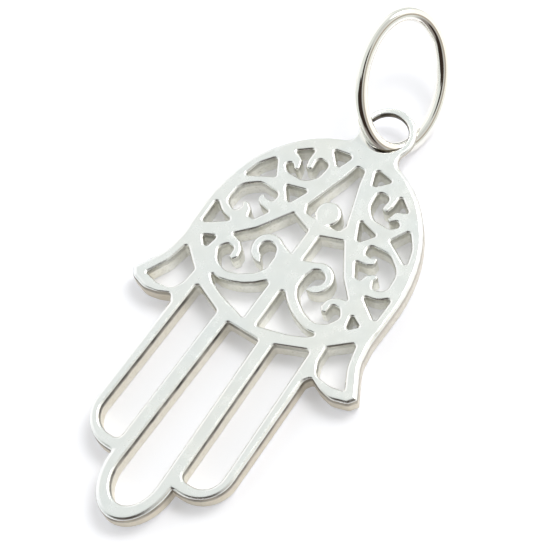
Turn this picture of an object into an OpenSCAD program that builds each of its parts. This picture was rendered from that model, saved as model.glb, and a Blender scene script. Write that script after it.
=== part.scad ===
// Hamsa pendant: a flat cast silver hand, pierced with scrollwork, lying on its back.
// Its eye is cast in one with it, and an oval jump ring is threaded through the eye.
// The fingers point to -Y and the eye to +Y. The back of the hand lies on z = 0.
// The origin is under the middle of the whole pendant, so the hand's palm is a little towards +Y.

/* [Hand] */
// Width of the palm, which all the pierced work scales with
palm_w = 11.8; // [9.5:0.1:16]
// Thickness of the cast plate
plate_t = 1.25; // [1.2:0.05:1.6]
// Length from the palm's widest line to the tip of the middle finger
hand_len = 16.45; // [13.5:0.05:22]
// Length from the palm's widest line to the tips of the two side fingers
side_len = 13.65; // [11.2:0.05:18]

/* [Eye] */
// Width of the hole in the eye
eye_hole = 2.2; // [2.16:0.01:2.5]
// Thickness of the eye's round rim
eye_wire = 0.43; // [0.38:0.01:0.45]

/* [Jump ring] */
// Outer length of the oval jump ring
ring_len = 7.75; // [7.2:0.05:8.4]
// Outer width of the oval jump ring
ring_w = 5.15; // [4.9:0.05:5.4]
// Thickness of the jump ring's wire
ring_wire = 0.77; // [0.66:0.01:0.79]

/* [Hidden] */
silver = "gainsboro";
bright = "silver";

// Clear gap between the jump ring's wire and the wall of the eye's hole
ring_gap = 0.05;
// Largest turn from one straight step of a small rounded corner to the next, and of a large arc
corner_step = 15;
arc_step = 6;
// Share of a straight edge that the rounding of its two corners may take up
edge_share = 0.98;
// Faces round the eye
round_fn = 64;
// Rings of points along the jump ring, and points round its wire
ring_stations = 60;
wire_sides = 12;
// Makes a cut run clear of both faces of the plate
over = 0.5;

// The pierced work's tables hold hundredths of the palm's width, from the middle of its widest line.
unit = palm_w / 100;

// Height of the rounded top of the palm above its widest line
arch_h = 57.6 * unit;
// Radius of the middle of the eye's rim, and of its outside
eye_r = (eye_hole + eye_wire) / 2;
eye_out = eye_r + eye_wire / 2;
// Middle of the eye, whose rim runs a little into the arch
eye_y = arch_h + 0.81 * eye_r;
// Thickness of the webs that spread the eye's rim into the arch
collar_t = 0.8 * eye_wire;
// Half width and height of the rounded tip of the middle finger, and of the end of its slot
tip_w = 16.1 * unit;
tip_h = 23.3 * unit;
slot_end_w = 9.8 * unit;
slot_end_h = 14.4 * unit;
// Metal left beyond the end of the middle slot, and of the side slots
tip_wall = 7.2 * unit;
side_wall = 5.7 * unit;
// Lower edges of the side fingers and of the side slots, and the start of the middle finger's tip
side_end = -side_len / unit;
side_slot_end = (side_wall - side_len) / unit;
tip_start = (tip_h - hand_len) / unit;
slot_end_start = (tip_wall + slot_end_h - hand_len) / unit;

// The jump ring's plane leans with its left side up, over the left side of the eye's rim.
ring_tilt = 40;
// Direction that the ring's plane leans to, and the turn of the oval in that plane
ring_lean = -15;
ring_turn = 132.5;
// Half length and half width of the wire's middle line
ring_a = (ring_len - ring_wire) / 2;
ring_b = (ring_w - ring_wire) / 2;

// Every outline below is a table of x, y and corner radius.
// Outline of one side of the hand, from under the arch to the lower edge of the side finger.
HAND_SIDE = [
    [50.0, 0, 0],
    [49.6, -19.5, 17.0],
    [51.0, -29.7, 17.0],
    [58.6, -43.2, 1.0],
    [55.9, -46.8, 3.0],
    [48.7, -49.0, 7.6],
    [42.4, -47.6, 7.6],
    [36.6, -44.9, 1.2],
    [35.0, -47.9, 1.7],
    [35.8, side_end, 16.3],
    [0, side_end, 0],
];
// Slot between a side finger and the middle finger.
SIDE_SLOT = [
    [29.3, -35.2, 1.3],
    [14.9, -41.2, 1.5],
    [16.1, side_slot_end, 3.0],
    [31.4, side_slot_end, 9.7],
];
// Upper end of the slot down the middle finger.
MIDDLE_SLOT = [
    [0, -42.9, 0],
    [7.9, -42.9, 1.0],
    [9.8, slot_end_start, 0],
];
// Small rounded triangle beside the eye.
CROWN_CUT = [
    [15.3, 48.1, 0.8],
    [6.1, 49.7, 1.3],
    [9.1, 41.8, 0.8],
];
// Anchor: a flared stem over a crescent with two curled ends.
ANCHOR = [
    [29.2, 39.2, 0.5],
    [22.5, 44.2, 0.8],
    [22.5, 38.1, 2.5],
    [21.4, 34.2, 1.5],
    [18.1, 34.7, 1.5],
    [18.6, 41.4, 1.9],
    [13.1, 41.1, 2.1],
    [13.6, 33.5, 5.1],
    [18.2, 28.8, 5.9],
    [26.7, 28.8, 3.8],
    [29.8, 31.8, 1.3],
    [27.3, 33.5, 1.0],
    [25.0, 31.4, 1.0],
    [23.1, 32.0, 0.8],
    [24.6, 37.1, 1.7],
];
// Three-cornered gap under the outer edge of the arch.
SHOULDER_CUT = [
    [34.7, 32.2, 1.0],
    [30.1, 24.2, 0.5],
    [42.2, 17.6, 0.8],
    [40.0, 25.4, 10.2],
];
// Crescent with a flared stem on its inside.
CRESCENT = [
    [23.7, 18.0, 1.9],
    [33.5, 18.6, 5.1],
    [40.8, 13.1, 7.6],
    [41.2, 3.8, 3.0],
    [36.3, 1.4, 1.7],
    [34.2, 4.7, 1.3],
    [35.8, 7.5, 1.2],
    [33.1, 7.8, 1.7],
    [29.8, 5.5, 2.5],
    [29.0, 2.4, 0.8],
    [26.6, 2.5, 1.0],
    [22.9, 8.6, 0.5],
    [27.8, 9.3, 1.7],
    [30.3, 11.0, 1.7],
    [30.2, 14.6, 0.7],
    [27.8, 13.1, 1.3],
    [24.4, 13.6, 1.3],
];
// Triangle between the middle spade and the crescent.
INNER_CUT = [
    [23.4, 23.1, 0.7],
    [13.6, 25.8, 0.8],
    [18.1, 16.4, 1.0],
];
// Triangle at the outer edge of the palm.
EDGE_CUT = [
    [45.4, 2.0, 0.8],
    [40.5, -2.0, 8.5],
    [34.4, -3.1, 0.7],
    [45.1, -10.5, 1.0],
];
// Small three-lobed hole above the thumb.
DROP = [
    [40.8, -15.4, 0.7],
    [35.2, -12.5, 0.8],
    [36.7, -19.7, 1.0],
];
// Gap between the thumb and the palm.
THUMB_CUT = [
    [44.1, -22.5, 1.0],
    [34.7, -30.5, 1.3],
    [35.2, -37.3, 3.4],
    [37.7, -43.2, 4.2],
    [44.9, -43.9, 4.2],
    [51.5, -42.6, 0.7],
    [46.6, -33.5, 10.2],
    [45.1, -27.5, 3.4],
];
// Curved triangle at the foot of the palm.
LOTUS = [
    [3.4, -17.6, 1.0],
    [8.1, -22.2, 6.8],
    [12.7, -25.3, 8.5],
    [17.8, -27.4, 8.5],
    [22.9, -28.6, 4.2],
    [27.5, -28.0, 0.5],
    [24.2, -31.0, 6.8],
    [17.8, -33.9, 8.5],
    [11.0, -35.8, 8.5],
    [3.6, -37.8, 0.7],
];
// One side of the spade-shaped hole in the middle, above its knob.
SPADE_SIDE = [
    [-1.7, 46.4, 0],
    [1.7, 46.4, 1.2],
    [3.4, 39.0, 10.2],
    [9.7, 19.9, 0.8],
    [8.3, 16.8, 1.0],
    [5.1, 16.5, 0.8],
    [0, 19.0, 0],
];
// Gap that runs from the big curl's eye under both curls, then up round the kite beside the middle.
KITE = [
    [9.2, -4.6, 0],
    [8.5, -8.1, 2.5],
    [8.5, -14.0, 3.4],
    [11.2, -18.1, 6.8],
    [16.9, -22.0, 8.5],
    [23.3, -24.2, 6.8],
    [28.4, -21.6, 5.1],
    [31.5, -16.5, 2.5],
    [29.0, -13.1, 1.7],
    [25.6, -13.2, 1.7],
    [25.2, -17.8, 0.4],
    [23.1, -18.3, 0.8],
    [21.4, -16.1, 1.7],
    [22.0, -12.3, 3.4],
    [25.0, -9.3, 2.5],
    [29.8, -8.1, 0.4],
    [22.2, -0.4, 12.7],
    [12.9, 13.7, 0.4],
    [3.2, 10.2, 1.0],
    [3.2, -2.5, 0.4],
    [8.3, -0.7, 0],
];
// The big curl's outer edge and the round hole that it curls about: x, y, radius, first and last angle.
CURL = [13.1, -6.1, 7.3, 130, -98];
CURL_EYE = [12.7, -6.6, 3.6, -70, 150];
// Round knob of metal that stands up into the spade: x, y and radius.
KNOB = [0, 21.0, 5.9];
// Web between the eye's rim and the arch, as x and y in shares of the rim's outer radius.
COLLAR = [
    [0.74, -0.57],
    [0.83, -0.71],
    [0.95, -0.82],
    [1.16, -0.94],
    [0.61, -0.94],
    [0.58, -0.72],
];

// Points of an arc of an ellipse about a middle, from one angle to another.
function arc(middle, rx, ry, from, to, step = arc_step) =
    let (steps = ceil(abs(to - from) / step))
    [for (i = [0 : steps])
        let (a = from + (to - from) * i / steps)
        [middle.x + rx * cos(a), middle.y + ry * sin(a)]];

// An arc of one of the curl's rows.
function curl_arc(row) = arc(row, row[2], row[2], row[3], row[4], corner_step);

// A row's point, and the direction from one row to another.
function point(row) = [row.x, row.y];
function towards(a, b) = (point(b) - point(a)) / norm(point(b) - point(a));

// Angle between the two edges that meet at a row.
function opening(before, row, after) =
    acos(max(-1, min(1, towards(row, before) * towards(row, after))));

// Length of edge that a row's rounding takes up on each side.
function takes(rows) =
    let (n = len(rows))
    [for (i = [0 : n - 1])
        rows[i][2] / tan(opening(rows[(i + n - 1) % n], rows[i], rows[(i + 1) % n]) / 2)];

// Share of two neighbouring roundings that fits on the edge between them.
function fits(a, b, take_a, take_b) =
    take_a + take_b == 0 ? 1 : min(1, edge_share * norm(point(b) - point(a)) / (take_a + take_b));

// A row's corner, rounded by an arc that starts and ends a length of cut from its point.
function corner(before, row, after, cut) =
    let (
        u = towards(row, before),
        v = towards(row, after),
        open = opening(before, row, after),
        r = cut * tan(open / 2),
        middle = point(row) + (u + v) / norm(u + v) * r / sin(open / 2),
        start = point(row) + u * cut - middle,
        from = atan2(start.y, start.x),
        side = u.x * v.y - u.y * v.x > 0 ? -1 : 1
    )
    arc(middle, r, r, from, from + side * (180 - open), min(corner_step, 2 * arc_step / sqrt(r * unit)));

// An outline with its corners from the first row to the last rounded.
function round_rows(rows, first, last) =
    let (n = len(rows), take = takes(rows))
    [for (i = [first : last])
        let (
            before = (i + n - 1) % n,
            after = (i + 1) % n,
            fit = min(
                fits(rows[before], rows[i], take[before], take[i]),
                fits(rows[i], rows[after], take[i], take[after])
            )
        )
        each corner(rows[before], rows[i], rows[after], take[i] * fit)];

// A closed outline, and an open one whose two end rows only give directions.
function rounded(rows) = round_rows(rows, 0, len(rows) - 1);
function rounded_run(rows) = round_rows(rows, 1, len(rows) - 2);

// One side's outline and its mirror image, joined into a closed outline.
function both_sides(points) =
    [each points, for (i = [len(points) - 1 : -1 : 0]) [-points[i].x, points[i].y]];

// The same points, from hundredths of the palm's width to millimetres.
function sized(points) = points * unit;

// A gap through the plate, on both sides of the middle.
module cut_pair(outline) {
    for (side = [0, 1])
        mirror([side, 0, 0])
            translate([0, 0, -over])
                linear_extrude(plate_t + 2 * over)
                    polygon(sized(outline));
}

// Outline of the whole hand: arch, palm, thumbs and side fingers, and the middle finger.
module hand_outline() {
    polygon(both_sides([
        each arc([0, 0], palm_w / 2, arch_h, 90, 0),
        each sized(rounded_run(HAND_SIDE)),
    ]));
    polygon(both_sides([
        [tip_w, 0],
        each arc([0, tip_start * unit], tip_w, tip_h, 0, -90),
    ]));
}

// The gap between the two curls and the kite above them.
module kite_cut() {
    cut_pair([
        each curl_arc(CURL),
        each curl_arc(CURL_EYE),
        each rounded_run(KITE),
    ]);
}

// The spade in the middle, with the knob of metal between its points.
module spade_cut() {
    translate([0, 0, -over])
        linear_extrude(plate_t + 2 * over)
            difference() {
                polygon(both_sides(sized(rounded_run(SPADE_SIDE))));
                translate([KNOB.x, KNOB.y] * unit)
                    circle(KNOB[2] * unit, $fn = round_fn);
            }
}

// The slot down the middle finger.
module middle_slot() {
    translate([0, 0, -over])
        linear_extrude(plate_t + 2 * over)
            polygon(both_sides([
                each sized(rounded_run(MIDDLE_SLOT)),
                each arc([0, slot_end_start * unit], slot_end_w, slot_end_h, 0, -90),
            ]));
}

// The eye's round rim, flush with the face of the hand.
module eye() {
    translate([0, eye_y, plate_t - eye_wire / 2])
        rotate_extrude($fn = round_fn)
            translate([eye_r, 0])
                circle(d = eye_wire, $fn = round_fn);
}

// The thin webs that spread the eye's rim into the arch.
module eye_collar() {
    for (side = [0, 1])
        mirror([side, 0, 0])
            translate([0, eye_y, plate_t - collar_t])
                linear_extrude(collar_t)
                    polygon(COLLAR * eye_out);
}

// The cast hand: one solid of plate, pierced palm, thumbs, fingers and eye.
module hamsa() {
    color(silver)
        translate([0, hand_shift(), 0]) {
            difference() {
                linear_extrude(plate_t)
                    hand_outline();
                for (rows = [CROWN_CUT, ANCHOR, SHOULDER_CUT, CRESCENT, INNER_CUT, EDGE_CUT, DROP, THUMB_CUT, LOTUS])
                    cut_pair(rounded(rows));
                cut_pair(rounded(SIDE_SLOT));
                middle_slot();
                kite_cut();
                spade_cut();
                translate([0, eye_y, -over])
                    cylinder(h = plate_t + 2 * over, r = eye_hole / 2, $fn = round_fn);
            }
            eye();
            eye_collar();
        }
}

// Directions of the oval's long and short axes.
function ring_long() = [
    cos(ring_turn) * cos(ring_lean) * cos(ring_tilt) - sin(ring_turn) * sin(ring_lean),
    cos(ring_turn) * sin(ring_lean) * cos(ring_tilt) + sin(ring_turn) * cos(ring_lean),
    -cos(ring_turn) * sin(ring_tilt),
];
function ring_short() = [
    -sin(ring_turn) * cos(ring_lean) * cos(ring_tilt) - cos(ring_turn) * sin(ring_lean),
    -sin(ring_turn) * sin(ring_lean) * cos(ring_tilt) + cos(ring_turn) * cos(ring_lean),
    sin(ring_turn) * sin(ring_tilt),
];

// Middle of the oval. Its low end rests on the surface, and the wire crosses the plane of the
// eye's rim just clear of the hole's lower edge.
function ring_middle() =
    let (
        long_z = ring_a * ring_long().z,
        short_z = ring_b * ring_short().z,
        rise = norm([long_z, short_z]),
        middle_z = rise + ring_wire / 2,
        cross = atan2(short_z, long_z) + acos((plate_t - eye_wire / 2 - middle_z) / rise),
        run = ring_a * cos(cross) * ring_long() + ring_b * sin(cross) * ring_short()
    )
    [-run.x, eye_y - (eye_hole - ring_wire) / 2 + ring_gap - run.y, middle_z];

// How far the hand is moved along Y, so that the origin is under the middle of the pendant.
function hand_shift() =
    let (reach = norm([ring_a * ring_long().y, ring_b * ring_short().y]) + ring_wire / 2)
    (hand_len - ring_middle().y - reach) / 2;

// The oval jump ring: round wire swept along an ellipse, and closed.
module jump_ring() {
    points = [
        for (i = [0 : ring_stations - 1], k = [0 : wire_sides - 1])
            let (
                turn = 360 * i / ring_stations,
                middle = [ring_a * cos(turn), ring_b * sin(turn), 0],
                out = [ring_b * cos(turn), ring_a * sin(turn), 0],
                round = 360 * k / wire_sides
            )
            middle + (out / norm(out) * cos(round) + [0, 0, sin(round)]) * ring_wire / 2
    ];
    faces = [
        for (i = [0 : ring_stations - 1], k = [0 : wire_sides - 1])
            let (
                next = (i + 1) % ring_stations,
                beside = (k + 1) % wire_sides
            )
            [i * wire_sides + k, i * wire_sides + beside, next * wire_sides + beside, next * wire_sides + k]
    ];
    color(bright)
        translate([0, hand_shift(), 0] + ring_middle())
            rotate([0, ring_tilt, ring_lean])
                rotate(ring_turn)
                    polyhedron(points, faces);
}

hamsa();
jump_ring();
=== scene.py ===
"""Looks of the hamsa pendant: a cast and polished silver hand with an eye, and its jump ring.

The pendant lies on a pale floor with its face up. Lengths are in millimetres where nothing else is said.
"""
import math
from collections import namedtuple

import bmesh
import bpy
import numpy as np
from mathutils import Euler, Matrix, Vector, noise
from mathutils.geometry import delaunay_2d_cdt


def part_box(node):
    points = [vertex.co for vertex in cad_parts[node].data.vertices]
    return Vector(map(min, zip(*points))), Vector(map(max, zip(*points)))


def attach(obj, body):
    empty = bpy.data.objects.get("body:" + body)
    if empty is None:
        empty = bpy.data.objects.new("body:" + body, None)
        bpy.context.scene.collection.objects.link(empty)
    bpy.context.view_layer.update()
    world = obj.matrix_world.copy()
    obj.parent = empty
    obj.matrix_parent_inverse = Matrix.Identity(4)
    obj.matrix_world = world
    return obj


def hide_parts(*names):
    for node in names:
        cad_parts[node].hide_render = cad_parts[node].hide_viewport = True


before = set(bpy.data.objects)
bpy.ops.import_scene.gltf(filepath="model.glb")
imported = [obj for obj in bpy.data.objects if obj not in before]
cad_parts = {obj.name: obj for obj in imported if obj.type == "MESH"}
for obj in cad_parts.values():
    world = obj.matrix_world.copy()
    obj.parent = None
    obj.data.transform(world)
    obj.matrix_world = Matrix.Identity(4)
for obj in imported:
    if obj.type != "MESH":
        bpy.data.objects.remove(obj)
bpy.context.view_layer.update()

MM = 0.001

# The eye as the part has it: width of its hole, and thickness of its rim
EYE_HOLE = 2.2
EYE_WIRE = 0.43
# The arch under the eye: radius of its curve, and how far the middle of the eye is above it in rim radii
ARCH_R = 5.12
EYE_SEAT = 0.81

# The hand's highest corner, the thickness of its plate, and the height of its face in metres
HAND_TOP = np.array(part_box("hamsa")[1]) / MM
PLATE_T = HAND_TOP[2]
FACE_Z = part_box("hamsa")[1][2]
# Radii of the eye's rim, at the middle of its wire and outside
RIM_R = (EYE_HOLE + EYE_WIRE) / 2
RIM_OUT = RIM_R + EYE_WIRE / 2
# Middle of the eye, and middle of the arch's curve
EYE = np.array([0.0, HAND_TOP[1] - RIM_OUT])
ARCH = np.array([0.0, EYE[1] - EYE_SEAT * RIM_R - ARCH_R])

# The jump ring as the part has it: its length, its width and its wire
RING_LEN = 7.75
RING_W = 5.15
RING_WIRE = 0.77
# Tilt of its plane, direction that the plane leans to, and turn of the oval in it, in degrees
RING_TILT = 40
RING_LEAN = -15
RING_TURN = 132.5
# Points along the wire and round it
RING_STATIONS = 224
WIRE_SIDES = 32

# Fillet of the collar between the eye's rim and the arch
COLLAR_R = 0.55
# Angles on the rim in degrees between which the collar starts, and how often that range is halved to find it
COLLAR_ANGLES = (-80, 0)
COLLAR_TRIES = 40
# How far under the collars' feet the arch's own points are left out
COLLAR_DEPTH = 0.5
# Steps of the arcs of a collar, of the eye's rim and of its hole
COLLAR_STEPS = 8
RIM_STEPS = 64
HOLE_STEPS = 72
# Distances outside the arch over which the cast thins from the plate to the rim
THIN_FROM = -0.12
THIN_TO = 0.3
# Distance from the middle of the eye within which it thins, in radii of the rim
THIN_NEAR = 2

# A finish is the place of a face's material in the hand's list, and this is the finish of its polished face
FACE = 0
# Kinds of edge of the hand: finish of the wall, rounding at the face and at the back, rounding of both on the
# eye's rim, share of the cast roughness, and steps of the face's rounding that have the finish of the wall,
# and so its painted dark line
Edge = namedtuple("Edge", "finish face_r back_r rim_r rough wall_steps")
OPENING = Edge(finish=1, face_r=0.15, back_r=0.07, rim_r=0.19, rough=1.0, wall_steps=2)
OUTSIDE = Edge(finish=2, face_r=0.24, back_r=0.24, rim_r=0.19, rough=0.3, wall_steps=2)
# The eye's hole: its wall and three steps of the face's rounding are near black, painted shade inside the
# hole
EYE_INSIDE = Edge(finish=3, face_r=0.15, back_r=0.07, rim_r=0.14, rough=1.0, wall_steps=3)
# Points round an outline at one step from the back to the face, with the finish of the faces next to them
Ring = namedtuple("Ring", "places heights finish")
# Steps of the rounding at the face and at the back
FACE_STEPS = 6
BACK_STEPS = 3
# Narrow flat band inside a rounded edge, which keeps the shading of the flat face even
FLAT_BAND = 0.02

# Share of the room in the metal that the rounding of an edge may take up
ROOM_SHARE = 0.8
# Edges face each other from this distance on, where the cosine between their directions is below this
FACING_FROM = 0.01
FACING_TURN = -0.2
# Room of an edge that faces none
ROOM_MOST = 1.0
# Points to each side whose least room counts, and over which the room is then evened out
LEAST_REACH = 5
EVEN_REACH = 2

# Spacing of points along the outlines, and the shortest edge that is kept
SPACING = 0.11
SHORTEST = 0.018
# Longest mitre at a sharp corner, in offsets
MITRE = 3.0
# An outline moves in steps of this length, and an edge that a step shrinks to this share of itself is closed
OFFSET_STEP = 0.01
CLOSED_SHARE = 0.02

# Rows of points up a cut wall, and how far its cast surface goes in and out
WALL_ROWS = 7
WALL_ROUGH = 0.02
# The roughness fades at the foot and at the top of a wall, each over its height divided by this
WALL_FADE = 3
# Size of the cast surface's grain
GRAIN_SIZE = 0.3
# Layers of the grain: how fast the finer ones weaken, how many times finer each is, and their number
GRAIN_FALL = 0.9
GRAIN_GAP = 2.2
GRAIN_LAYERS = 4

# Spacing of the grid of points on the back round the eye, where it isn't flat
GRID = 0.12
# Its reach to the sides, below and above the middle of the eye, and how far it stays from the outlines
GRID_SIDE = 2.2
GRID_BELOW = 1.9
GRID_ABOVE = 0.2
GRID_CLEAR = 0.05

# Decimals by which two of the part's points are one, and how near to z = 0 its underside is
DECIMALS = 4
UNDERSIDE = 1e-4
# Distance at which two points of a cap are one, and least square of an edge's length that is divided by
CAP_JOIN = 1e-6
LEAST_SQUARE = 1e-12
# Distance at which points of a piece are joined, and length of an edge that counts as none, in metres
JOIN = 1e-6
NO_LENGTH = 1e-7
# Most sides of a gap that joining points may leave
GAP_SIDES = 6

# Dark line painted on the walls just under the face, a painted dark reflection of the rounded edge: its
# colour, and how far under the face it starts and is darkest
PAINTED_DARK_LINE = (0.03, 0.025, 0.02)
PAINTED_LINE_FROM = 0.45
PAINTED_LINE_TO = 0.29
# Height along the hand up to which the finger slots go, and from which the palm's openings start
FINGERS_TO = -4.2
PALM_FROM = -2.8
# Colours of the pits in a cast wall, and of the warm reflection painted on the walls between the fingers
PIT = (0.42, 0.38, 0.31)
PAINTED_WARM_REFLECTION = (0.66, 0.57, 0.42)

# Brightness and tint of the studio's ceiling, and of what is dark round the camera
CEILING = (0.775, 0.81, 0.785)
DARK = (0.035, 0.025, 0.02)
# Soft round patches over the ceiling, the later ones in front: azimuth and elevation of the middle, radii of
# the core and of the faded edge, all in degrees, and colour
PATCHES = [
    # Soft box on the right, soft box behind on the left, and bright light high up on the right
    (50, 28, 24, 44, (1.15, 1.14, 1.07)),
    (178, 26, 24, 44, (1.12, 1.12, 1.12)),
    (72, 57, 9, 18, (7.8, 7.8, 7.6)),
    # Greyer part of the ceiling, brown patch on the right, and dim side of the room behind the camera
    (22, 72, 8, 24, (0.62, 0.63, 0.61)),
    (0, 37, 6, 17, (0.45, 0.40, 0.34)),
    (-58, 28, 18, 46, (0.27, 0.245, 0.23)),
    # What stands round the camera, and the camera
    (-104, 38, 9, 13, DARK),
    (-84, 47, 16, 20, DARK),
    (-48, 38, 12, 17, DARK),
    (-55, 57, 9, 13, DARK),
    (-40, 64, 9, 14, (0.05, 0.037, 0.03)),
]
# Strength of the light that comes through the floor from below, as on a light table
GLOW = 0.22
# Half the floor's width, and how far it lies under the pendant, in metres
FLOOR_HALF = 1.5
FLOOR_GAP = 0.00001

# Where the camera looks: a place on the face, measured from the tip of the middle finger
LOOK_X = -0.35
LOOK_UP = 14.71
# Its direction from there and its roll in degrees, and its distance
AZIMUTH = -38.58
ELEVATION = 64.08
ROLL = -18.06
DISTANCE = 100.05
# Its lens: width of the sensor, and focal length and width of the picture in pixels
SENSOR = 36.0
FOCAL_PIXELS = 2000
PICTURE_PIXELS = 550


def smooth(t):
    """A smooth step from 0 to 1."""
    t = np.clip(t, 0.0, 1.0)
    return t * t * (3 - 2 * t)


def thinness(x, y):
    """0 on the plate and 1 on the eye's rim."""
    beyond = np.hypot(x - ARCH[0], y - ARCH[1]) - ARCH_R
    near_eye = np.hypot(x - EYE[0], y - EYE[1]) < THIN_NEAR * RIM_OUT
    return smooth((beyond - THIN_FROM) / (THIN_TO - THIN_FROM)) * near_eye


def back_height(x, y):
    """Height of the hand's back, which is on the floor under the plate and raised under the eye's rim."""
    return (PLATE_T - EYE_WIRE) * thinness(x, y)


def area(loop):
    """Area inside a closed outline."""
    ahead = np.roll(loop, -1, axis=0)
    return abs(0.5 * float(np.sum(loop[:, 0] * ahead[:, 1] - ahead[:, 0] * loop[:, 1])))


def underside_loops(node):
    """Outlines of a node's flat underside, the outer one first, each with the metal on its left."""
    mesh = node.data
    points = np.array([v.co for v in mesh.vertices]) / MM
    keys = [tuple(p) for p in np.round(points, DECIMALS)]
    first = {}
    same = [first.setdefault(key, i) for i, key in enumerate(keys)]
    mesh.calc_loop_triangles()
    directed = set()
    for triangle in mesh.loop_triangles:
        corners = [same[i] for i in triangle.vertices]
        if all(abs(points[i][2]) < UNDERSIDE for i in corners):
            directed.update(zip(corners, corners[1:] + corners[:1]))
    # An edge of only one triangle is on an outline, walked backwards because the underside faces down
    ahead = {b: a for a, b in directed if (b, a) not in directed}
    loops = []
    while ahead:
        start, at = ahead.popitem()
        loop = [start]
        while at != start:
            loop.append(at)
            at = ahead.pop(at)
        loops.append(points[loop][:, :2])
    return sorted(loops, key=lambda loop: -area(loop))


def nearest_on(loop, point):
    """The point of a closed outline that is nearest to a point."""
    edge = np.roll(loop, -1, axis=0) - loop
    square = np.maximum(np.sum(edge * edge, axis=1), LEAST_SQUARE)
    t = np.clip(np.sum((point - loop) * edge, axis=1) / square, 0, 1)
    feet = loop + edge * t[:, None]
    return feet[np.argmin(np.linalg.norm(feet - point, axis=1))]


def arc(middle, radius, start, end, steps):
    """Points of an arc about a middle, from one angle to another, in radians."""
    angles = np.linspace(start, end, steps + 1)
    return np.stack([middle[0] + radius * np.cos(angles), middle[1] + radius * np.sin(angles)], axis=1)


def add_eye(outer):
    """The hand's outer outline with the eye's rim and its two collars added to the top of the arch."""
    low, high = (math.radians(angle) for angle in COLLAR_ANGLES)
    # The right collar's middle is where its circle touches both the rim and the arch
    for _ in range(COLLAR_TRIES):
        turn = (low + high) / 2
        middle = EYE + (RIM_OUT + COLLAR_R) * np.array([math.cos(turn), math.sin(turn)])
        if np.linalg.norm(nearest_on(outer, middle) - middle) > COLLAR_R:
            high = turn
        else:
            low = turn
    foot = nearest_on(outer, middle)
    start = math.atan2(foot[1] - middle[1], foot[0] - middle[0])
    start += 2 * math.pi if start < 0 else 0
    right = arc(middle, COLLAR_R, start, turn + math.pi, COLLAR_STEPS)
    rim = arc(EYE, RIM_OUT, turn, math.pi - turn, RIM_STEPS)
    left = right[::-1] * (-1, 1)
    keep = ~((np.abs(outer[:, 0]) < foot[0]) & (outer[:, 1] > foot[1] - COLLAR_DEPTH))
    first = int(np.argmax(keep & ~np.roll(keep, 1)))
    turned = np.roll(outer, -first, axis=0)[np.roll(keep, -first)]
    return np.concatenate([turned, right, rim[1:-1], left])


def resample(loop):
    """A closed outline without its shortest edges, and with its long ones split evenly."""
    kept = [loop[0]]
    for point in loop[1:]:
        if np.linalg.norm(point - kept[-1]) > SHORTEST:
            kept.append(point)
    if np.linalg.norm(kept[0] - kept[-1]) < SHORTEST:
        kept.pop()
    points = []
    for a, b in zip(kept, kept[1:] + kept[:1]):
        parts = max(1, math.ceil(np.linalg.norm(b - a) / SPACING))
        points += [a + (b - a) * i / parts for i in range(parts)]
    return np.array(points)


def mitres(loop):
    """The direction in which each point of an outline moves into the metal, long where the outline turns."""
    ahead = np.roll(loop, -1, axis=0) - loop
    ahead /= np.linalg.norm(ahead, axis=1)[:, None]
    normal = np.stack([-ahead[:, 1], ahead[:, 0]], axis=1)
    before = np.roll(normal, 1, axis=0)
    share = 1 + np.sum(normal * before, axis=1)
    return (normal + before) / np.maximum(share, 2 / MITRE ** 2)[:, None]


def offset(loop, distances):
    """The outline moved into the metal. Points that would pass each other meet, and share a place."""
    # Points of one group have met, and move on as one
    group = np.arange(len(loop))
    points = loop.copy()
    parts = max(1, math.ceil(float(distances.max()) / OFFSET_STEP))
    for _ in range(parts):
        index = np.flatnonzero(np.r_[True, group[1:] != group[:-1]])
        slim = points[index]
        moved = slim + mitres(slim) * (distances[index] / parts)[:, None]
        edge = np.roll(slim, -1, axis=0) - slim
        new_edge = np.roll(moved, -1, axis=0) - moved
        closed = np.sum(edge * new_edge, axis=1) <= CLOSED_SHARE * np.sum(edge * edge, axis=1)
        met = np.arange(len(slim))
        for i in np.flatnonzero(closed[:-1]):
            met[i + 1] = met[i]
        for first in np.unique(met):
            members = met == first
            if members.sum() > 1:
                moved[members] = moved[members].mean(axis=0)
        span = np.diff(np.r_[index, len(loop)])
        points = np.repeat(moved, span, axis=0)
        group = np.repeat(met, span)
    return points


def directions(loop):
    """The direction into the metal at each point of an outline, as long as 1."""
    pushes = mitres(loop)
    return pushes / np.linalg.norm(pushes, axis=1)[:, None]


def room(loop, loops):
    """Half the width of the metal at each point of an outline: the radius of a circle that fits in there."""
    points = np.concatenate(loops)
    pushes = np.concatenate([directions(other) for other in loops])
    limits = []
    for point, push in zip(loop, directions(loop)):
        to = points - point
        ahead = to @ push
        facing = (ahead > FACING_FROM) & (pushes @ push < FACING_TURN)
        radii = np.sum(to[facing] ** 2, axis=1) / (2 * ahead[facing])
        limits.append(radii.min() if len(radii) else ROOM_MOST)
    least = np.minimum.reduce([np.roll(limits, shift) for shift in range(-LEAST_REACH, LEAST_REACH + 1)])
    shifts = range(-EVEN_REACH, EVEN_REACH + 1)
    return sum(np.roll(least, shift) for shift in shifts) / len(shifts)


def metal_side(triangles, walls):
    """Whether each triangle is metal: a step over an outline changes side, one over another edge doesn't."""
    edges = [[frozenset(edge) for edge in zip(t, t[1:] + t[:1])] for t in triangles]
    beside = {}
    for number, around in enumerate(edges):
        for edge in around:
            beside.setdefault(edge, []).append(number)
    side = {}
    waiting = [(numbers[0], edge in walls) for edge, numbers in beside.items() if len(numbers) == 1]
    while waiting:
        number, metal = waiting.pop()
        if number not in side:
            side[number] = metal
            for edge in edges[number]:
                waiting += [(other, metal != (edge in walls)) for other in beside[edge]]
    return [side[number] for number in range(len(triangles))]


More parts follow.
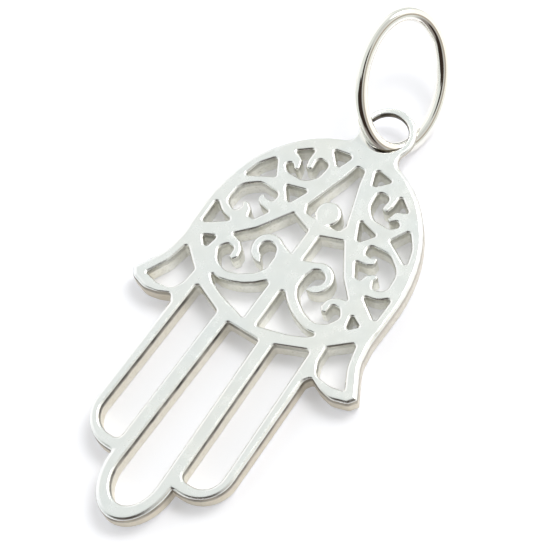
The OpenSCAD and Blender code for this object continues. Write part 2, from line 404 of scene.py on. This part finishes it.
def inside(points, loops):
    """True for each point that has metal under it: inside an odd number of outlines."""
    odd = np.zeros(len(points), bool)
    for loop in loops:
        for a, b in zip(loop, np.roll(loop, -1, axis=0)):
            rise = b[1] - a[1]
            beside = (points[:, 1] < a[1]) != (points[:, 1] < b[1])
            if beside.any():
                cross = a[0] + (points[:, 1] - a[1]) * (b[0] - a[0]) / rise
                odd ^= beside & (points[:, 0] < cross)
    return odd


class Cast:
    """Points and faces of the cast hand, gathered outline by outline, with each face's finish."""

    def __init__(self):
        self.points = []
        self.faces = []
        self.finish = []
        self.back_rims = []
        self.face_rims = []

    def add(self, rings):
        """Adds the rings round one outline, from the back to the face, and joins each to the next one."""
        count = len(rings[0].places)
        firsts = [len(self.points) + count * i for i in range(len(rings))]
        for ring in rings:
            self.points += [(x, y, z) for (x, y), z in zip(ring.places, ring.heights)]
        for low, high, below, above in zip(firsts, firsts[1:], rings, rings[1:]):
            finish = FACE if below.finish == FACE else above.finish
            for i in range(count):
                j = (i + 1) % count
                self.faces.append((low + i, low + j, high + j, high + i))
                self.finish.append(finish)
        self.back_rims.append((rings[0].places, firsts[0]))
        self.face_rims.append((rings[-1].places, firsts[-1]))

    def cap(self, rims, extra, up):
        """Fills a flat side between its rims, with extra points where the back isn't flat."""
        loops = [loop for loop, _ in rims]
        index = [first + np.arange(len(loop)) for loop, first in rims]
        index = np.concatenate(index + [len(self.points) + np.arange(len(extra))])
        self.points += [(x, y, back_height(x, y)) for x, y in extra]
        drawn = []
        at = 0
        for loop in loops:
            drawn += [(at + i, at + (i + 1) % len(loop)) for i in range(len(loop))
                      if np.any(loop[i] != loop[(i + 1) % len(loop)])]
            at += len(loop)
        flat = [Vector(p) for p in np.concatenate(loops + [extra])]
        _, edges, triangles, origin, edge_origin, _ = delaunay_2d_cdt(flat, drawn, [], 0, CAP_JOIN)
        triangles = [list(t) for t in triangles]
        # An outline that folds back runs along an edge twice, and a step over it there changes no side
        walls = {frozenset(edge) for edge, sources in zip(edges, edge_origin) if len(sources) % 2}
        for triangle, filled in zip(triangles, metal_side(triangles, walls)):
            if filled and all(origin[i] for i in triangle):
                corners = [int(index[origin[i][0]]) for i in triangle]
                self.faces.append(tuple(corners if up else corners[::-1]))
                self.finish.append(FACE)


def rounded(radius, angle):
    """How far in a rounded edge is at an angle of its rounding, and how far short of the flat side."""
    angle = math.radians(angle)
    return radius * (1 - math.cos(angle)), radius * (1 - math.sin(angle))


def roughened(loop, heights, amount):
    """An outline at the heights of one row of a cut wall, with the cast surface's grain."""
    grain = np.array([
        noise.fractal(Vector((x, y, z)) / GRAIN_SIZE, GRAIN_FALL, GRAIN_GAP, GRAIN_LAYERS)
        for (x, y), z in zip(loop, heights)
    ])
    return loop + mitres(loop) * (WALL_ROUGH * amount * grain)[:, None]


def edge_rings(loop, loops, edge):
    """The rings round one outline: the back's rounding, the cut wall and the face's rounding."""
    thin = thinness(loop[:, 0], loop[:, 1])
    back = back_height(loop[:, 0], loop[:, 1])
    limit = ROOM_SHARE * room(loop, loops) - FLAT_BAND
    face_r = np.minimum(edge.face_r + (edge.rim_r - edge.face_r) * thin, limit)
    back_r = np.minimum(edge.back_r + (edge.rim_r - edge.back_r) * thin, limit)
    rings = [Ring(offset(loop, back_r + FLAT_BAND), back, FACE)]
    for angle in np.linspace(90, 0, BACK_STEPS + 1)[:-1]:
        away, short = rounded(back_r, angle)
        rings.append(Ring(offset(loop, away), back + short, FACE))
    for row in range(WALL_ROWS + 1):
        share = row / WALL_ROWS
        heights = back + back_r + (PLATE_T - face_r - back - back_r) * share
        amount = min(1.0, WALL_FADE * share, WALL_FADE * (1 - share)) * (1 - thin) * edge.rough
        rings.append(Ring(roughened(loop, heights, amount), heights, edge.finish))
    for step, angle in enumerate(np.linspace(0, 90, FACE_STEPS + 1)[1:]):
        away, short = rounded(face_r, angle)
        finish = edge.finish if step < edge.wall_steps else FACE
        rings.append(Ring(offset(loop, away), PLATE_T - short, finish))
    rings.append(Ring(offset(loop, face_r + FLAT_BAND), np.full(len(loop), PLATE_T), FACE))
    return rings


def eye_grid(loops):
    """Points on the back round the eye, where it isn't flat, inside the metal and clear of its outlines."""
    across = np.arange(-GRID_SIDE, GRID_SIDE, GRID)
    along = np.arange(EYE[1] - GRID_BELOW, EYE[1] + GRID_ABOVE, GRID)
    grid = np.array([(x, y) for x in across for y in along])
    grid = grid[inside(grid, loops)]
    outer, hole, *_ = loops
    return np.array([
        p for p in grid
        if min(np.linalg.norm(nearest_on(loop, p) - p) for loop in (outer, hole)) > GRID_CLEAR
    ])


def build_hand(node):
    """The cast hand: the part's outlines with rounded edges and rough cut walls, and the rim of the eye."""
    outer, *openings = underside_loops(node)
    hole = arc(EYE, EYE_HOLE / 2, 2 * math.pi, 0, HOLE_STEPS)[:-1]
    loops = [resample(add_eye(outer)), hole] + [resample(opening) for opening in openings]
    edges = [OUTSIDE, EYE_INSIDE] + [OPENING] * len(openings)
    cast = Cast()
    for loop, edge in zip(loops, edges):
        cast.add(edge_rings(loop, loops, edge))
    cast.cap(cast.back_rims, eye_grid([rim for rim, _ in cast.back_rims]), up=False)
    cast.cap(cast.face_rims, np.zeros((0, 2)), up=True)
    return make_piece("cast_hand", cast.points, cast.faces, cast.finish)


def make_piece(name, points, faces, finish):
    """A smooth mesh piece from points in millimetres, with coinciding points joined."""
    mesh = bpy.data.meshes.new(name)
    mesh.from_pydata([tuple(c * MM for c in p) for p in points], [], faces)
    mesh.polygons.foreach_set("material_index", finish)
    mesh.polygons.foreach_set("use_smooth", [True] * len(faces))
    piece = bpy.data.objects.new(name, mesh)
    bpy.context.scene.collection.objects.link(piece)
    join_points(mesh)
    return piece


def join_points(mesh):
    """Joins points that share a place, drops faces that this leaves without area, and closes the rest."""
    work = bmesh.new()
    work.from_mesh(mesh)
    bmesh.ops.remove_doubles(work, verts=work.verts, dist=JOIN)
    bmesh.ops.dissolve_degenerate(work, edges=work.edges, dist=NO_LENGTH)
    bmesh.ops.holes_fill(work, edges=[edge for edge in work.edges if edge.is_boundary], sides=GAP_SIDES)
    bmesh.ops.recalc_face_normals(work, faces=work.faces)
    work.to_mesh(mesh)
    work.free()


def build_ring():
    """The oval jump ring: round wire along an ellipse, where the part has it."""
    low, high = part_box("jump_ring")
    centre = (low + high) / 2 / MM
    turn = Euler((0, math.radians(RING_TILT), math.radians(RING_LEAN)), "XYZ").to_matrix()
    turn = turn @ Matrix.Rotation(math.radians(RING_TURN), 3, "Z")
    half_len = (RING_LEN - RING_WIRE) / 2
    half_w = (RING_W - RING_WIRE) / 2
    points = []
    faces = []
    for i in range(RING_STATIONS):
        t = 2 * math.pi * i / RING_STATIONS
        middle = Vector((half_len * math.cos(t), half_w * math.sin(t), 0))
        out = Vector((half_w * math.cos(t), half_len * math.sin(t), 0)).normalized()
        here = i * WIRE_SIDES
        ahead = (i + 1) % RING_STATIONS * WIRE_SIDES
        for k in range(WIRE_SIDES):
            round_wire = 2 * math.pi * k / WIRE_SIDES
            skin = (out * math.cos(round_wire) + Vector((0, 0, math.sin(round_wire)))) * RING_WIRE / 2
            points.append(centre + turn @ (middle + skin))
            m = (k + 1) % WIRE_SIDES
            faces.append((here + k, ahead + k, ahead + m, here + m))
    return make_piece("oval_jump_ring", points, faces, [0] * len(faces))


class Nodes:
    """A material's node tree, with short calls to add and link its nodes."""

    def __init__(self, name):
        self.material = bpy.data.materials.new(name)
        self.material.use_nodes = True
        self.tree = self.material.node_tree
        self.shader = self.tree.nodes["Principled BSDF"]
        self.place = self.add("ShaderNodeTexCoord").outputs["Object"]

    def add(self, kind, **settings):
        """A new node of a kind."""
        node = self.tree.nodes.new(kind)
        for key, value in settings.items():
            setattr(node, key, value)
        return node

    def link(self, output, socket):
        """Links an output to an input."""
        self.tree.links.new(output, socket)

    def noise(self, size, detail=2.0, rough=0.5, stretch=None):
        """Noise from 0 to 1 with features of a size in millimetres, stretched by a scale and an angle."""
        node = self.add("ShaderNodeTexNoise")
        node.inputs["Scale"].default_value = 1 / (size * MM)
        node.inputs["Detail"].default_value = detail
        node.inputs["Roughness"].default_value = rough
        source = self.place
        if stretch:
            scale, angle = stretch
            mapping = self.add("ShaderNodeMapping")
            mapping.inputs["Scale"].default_value = scale
            mapping.inputs["Rotation"].default_value = (0, 0, math.radians(angle))
            self.link(source, mapping.inputs["Vector"])
            source = mapping.outputs["Vector"]
        self.link(source, node.inputs["Vector"])
        return node.outputs["Fac"]

    def spread(self, value, low, high, from_low=0.3, from_high=0.7):
        """A value mapped from one range to another. Most of a noise lies between 0.3 and 0.7."""
        node = self.add("ShaderNodeMapRange")
        node.inputs["From Min"].default_value = from_low
        node.inputs["From Max"].default_value = from_high
        node.inputs["To Min"].default_value = low
        node.inputs["To Max"].default_value = high
        self.link(value, node.inputs["Value"])
        return node.outputs["Result"]

    def between(self, value, colours):
        """A colour between two, by a value from 0 to 1."""
        first, second = colours
        node = self.add("ShaderNodeMix", data_type="RGBA")
        node.inputs["A"].default_value = (*first, 1)
        node.inputs["B"].default_value = (*second, 1)
        self.link(value, node.inputs["Factor"])
        return node.outputs["Result"]

    def over(self, under, colour, share):
        """A colour laid over another one, by a share from 0 to 1."""
        node = self.add("ShaderNodeMix", data_type="RGBA")
        node.inputs["B"].default_value = (*colour, 1)
        self.link(under, node.inputs["A"])
        self.link(share, node.inputs["Factor"])
        return node.outputs["Result"]

    def times(self, first, second):
        """The product of two values."""
        node = self.add("ShaderNodeMath", operation="MULTIPLY")
        self.link(first, node.inputs[0])
        self.link(second, node.inputs[1])
        return node.outputs["Value"]

    def bump(self, height, depth, strength=1.0, over=None):
        """A bump of a depth in millimetres, laid over another bump if there is one."""
        node = self.add("ShaderNodeBump")
        node.inputs["Strength"].default_value = strength
        node.inputs["Distance"].default_value = depth * MM
        self.link(height, node.inputs["Height"])
        if over:
            self.link(over, node.inputs["Normal"])
        return node.outputs["Normal"]


def polished_silver(name, tones, roughness, waviness):
    """Polished silver with faint tone changes, fine polishing lines and a slight waviness."""
    nodes = Nodes(name)
    nodes.shader.inputs["Metallic"].default_value = 1.0
    cloud = nodes.spread(nodes.noise(2.6, detail=3.0), 0, 1)
    nodes.link(nodes.between(cloud, tones), nodes.shader.inputs["Base Color"])
    patches = nodes.noise(0.5, detail=4.0, rough=0.6)
    nodes.link(nodes.spread(patches, *roughness), nodes.shader.inputs["Roughness"])
    wave = nodes.bump(nodes.noise(1.6, detail=1.0), waviness)
    lines = nodes.noise(0.05, detail=3.0, rough=0.65, stretch=((1.0, 0.08, 1.0), 12))
    nodes.link(nodes.bump(lines, depth=0.0006, strength=0.5, over=wave), nodes.shader.inputs["Normal"])
    return nodes.material


def satin_face():
    """The hand's face and rounded edges, polished to a satin."""
    tones = ((0.89, 0.905, 0.905), (0.93, 0.925, 0.90))
    return polished_silver("satin_face", tones, roughness=(0.2, 0.3), waviness=0.01)


def bright_wire():
    """The jump ring's wire, polished to a mirror."""
    tones = ((0.95, 0.93, 0.875), (0.965, 0.945, 0.90))
    return polished_silver("bright_wire", tones, roughness=(0.05, 0.1), waviness=0.006)


def cast_silver(name, tones, relief):
    """Silver as it was cast: grainy, duller and warmer, with pits. Returns its nodes and its colour."""
    nodes = Nodes(name)
    nodes.shader.inputs["Metallic"].default_value = 1.0
    grain = nodes.noise(0.13, detail=4.0, rough=0.7)
    stain = nodes.spread(nodes.noise(0.45, detail=3.0, rough=0.6), 0, 1)
    tint = nodes.between(stain, tones)
    pitted = nodes.over(tint, PIT, nodes.spread(grain, 0.5, 0.0, from_low=0.3, from_high=0.46))
    nodes.link(pitted, nodes.shader.inputs["Base Color"])
    nodes.link(nodes.spread(grain, 0.5, 0.28), nodes.shader.inputs["Roughness"])
    coarse = nodes.bump(nodes.noise(0.3), relief)
    nodes.link(nodes.bump(grain, relief, strength=0.9, over=coarse), nodes.shader.inputs["Normal"])
    return nodes, pitted


def wall_with_painted_line(name, tones, relief, fingers, palm):
    """A cast wall with a dark line painted under the face, a painted dark reflection of the rounded edge, by
    a share in the fingers and one in the palm.
    """
    nodes, colour = cast_silver(name, tones, relief)
    place = nodes.add("ShaderNodeSeparateXYZ")
    nodes.link(nodes.place, place.inputs["Vector"])

    def along_hand(at_fingers, at_palm):
        """A value that changes between the fingers and the palm."""
        return nodes.spread(place.outputs["Y"], at_fingers, at_palm, FINGERS_TO * MM, PALM_FROM * MM)

    # Painted warm reflection on the walls of the finger slots, fading out towards the palm
    warm_reflection_colour = nodes.over(colour, PAINTED_WARM_REFLECTION, along_hand(0.4, 0.0))
    # Painted dark reflection: a patchy dark line a little under the face, stronger in the fingers
    high = nodes.spread(place.outputs["Z"], 0, 1, FACE_Z - PAINTED_LINE_FROM * MM, FACE_Z - PAINTED_LINE_TO * MM)
    most = along_hand(fingers, palm)
    patchy = nodes.times(nodes.spread(nodes.noise(0.9, detail=3.0), 0.55, 1.0), most)
    dark_lined_colour = nodes.over(warm_reflection_colour, PAINTED_DARK_LINE, nodes.times(high, patchy))
    nodes.link(dark_lined_colour, nodes.shader.inputs["Base Color"])
    return nodes.material


def cut_wall():
    """The walls of the openings."""
    tones = ((0.94, 0.93, 0.84), (0.99, 0.985, 0.93))
    # Painted dark line under the face: in full in the finger slots, about a third in the palm
    return wall_with_painted_line("cast_wall", tones, relief=0.045, fingers=1.0, palm=0.35)


def outer_wall():
    """The hand's outer wall, rubbed smoother than the openings, in darker tan tones that are painted shade
    and a painted tan reflection of the floor.
    """
    # Darker and warmer than the openings' walls of the same cast: painted shade and painted tan reflection
    tones = ((0.68, 0.63, 0.54), (0.80, 0.76, 0.68))
    return wall_with_painted_line("outer_wall", tones, relief=0.012, fingers=0.8, palm=0.3)


def eye_wall_painted_shade():
    """The inside of the eye's rim, painted near black as the shade inside the hole."""
    nodes, _ = cast_silver("eye_wall_painted_shade", ((0.05, 0.045, 0.035), (0.16, 0.14, 0.11)), relief=0.012)
    return nodes.material


def pale_floor():
    """A plain white sheet under the pendant."""
    mesh = bpy.data.meshes.new("floor")
    corners = [(x * FLOOR_HALF, y * FLOOR_HALF, -FLOOR_GAP) for x, y in ((-1, -1), (1, -1), (1, 1), (-1, 1))]
    mesh.from_pydata(corners, [], [(0, 1, 2, 3)])
    floor = bpy.data.objects.new("floor", mesh)
    bpy.context.scene.collection.objects.link(floor)
    nodes = Nodes("white_sheet")
    cloud = nodes.spread(nodes.noise(40), 0, 1)
    tint = nodes.between(cloud, ((0.88, 0.88, 0.935), (0.9, 0.9, 0.955)))
    nodes.link(tint, nodes.shader.inputs["Base Color"])
    shine = nodes.between(cloud, ((0.98, 0.98, 0.99), (1.0, 1.0, 1.0)))
    nodes.link(shine, nodes.shader.inputs["Emission Color"])
    nodes.shader.inputs["Emission Strength"].default_value = GLOW
    nodes.shader.inputs["Roughness"].default_value = 0.6
    nodes.shader.inputs["Specular IOR Level"].default_value = 0.15
    mesh.materials.append(nodes.material)


def heading(azimuth, elevation):
    """The direction of an azimuth and an elevation in degrees."""
    azimuth, elevation = math.radians(azimuth), math.radians(elevation)
    return Vector((
        math.cos(elevation) * math.cos(azimuth),
        math.cos(elevation) * math.sin(azimuth),
        math.sin(elevation),
    ))


def studio():
    """Soft light all round: a pale ceiling with soft boxes, and a darker side where the camera stands."""
    world = bpy.data.worlds.new("studio")
    bpy.context.scene.world = world
    world.use_nodes = True
    tree = world.node_tree
    ray = tree.nodes.new("ShaderNodeTexCoord").outputs["Generated"]
    colour = None
    for azimuth, elevation, core, edge, tone in PATCHES:
        near = tree.nodes.new("ShaderNodeVectorMath")
        near.operation = "DOT_PRODUCT"
        near.inputs[1].default_value = heading(azimuth, elevation)
        tree.links.new(ray, near.inputs[0])
        fade = tree.nodes.new("ShaderNodeMapRange")
        fade.interpolation_type = "SMOOTHSTEP"
        fade.inputs["From Min"].default_value = math.cos(math.radians(edge))
        fade.inputs["From Max"].default_value = math.cos(math.radians(core))
        tree.links.new(near.outputs["Value"], fade.inputs["Value"])
        patch = tree.nodes.new("ShaderNodeMix")
        patch.data_type = "RGBA"
        patch.inputs["A"].default_value = (*CEILING, 1)
        patch.inputs["B"].default_value = (*tone, 1)
        tree.links.new(fade.outputs["Result"], patch.inputs["Factor"])
        if colour:
            tree.links.new(colour, patch.inputs["A"])
        colour = patch.outputs["Result"]
    tree.links.new(colour, tree.nodes["Background"].inputs["Color"])
    bpy.context.scene.view_settings.view_transform = "Standard"


def camera():
    """The camera at the photograph's angle."""
    data = bpy.data.cameras.new("camera")
    data.sensor_width = SENSOR
    data.lens = SENSOR * FOCAL_PIXELS / PICTURE_PIXELS
    data.clip_start = 5 * MM
    data.clip_end = 10
    viewer = bpy.data.objects.new("camera", data)
    away = heading(AZIMUTH, ELEVATION)
    low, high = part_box("hamsa")
    look_at = Vector((LOOK_X * MM, low[1] + LOOK_UP * MM, high[2]))
    viewer.location = look_at + away * DISTANCE * MM
    look = (-away).to_track_quat("-Z", "Y").to_matrix() @ Matrix.Rotation(math.radians(ROLL), 3, "Z")
    viewer.rotation_euler = look.to_euler()
    bpy.context.scene.collection.objects.link(viewer)
    bpy.context.scene.camera = viewer


camera()
studio()
pale_floor()

hand = build_hand(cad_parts["hamsa"])
# In the order of the finishes
for material in (satin_face(), cut_wall(), outer_wall(), eye_wall_painted_shade()):
    hand.data.materials.append(material)
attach(hand, "root")
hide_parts("hamsa")

ring = build_ring()
ring.data.materials.append(bright_wire())
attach(ring, "root")
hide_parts("jump_ring")
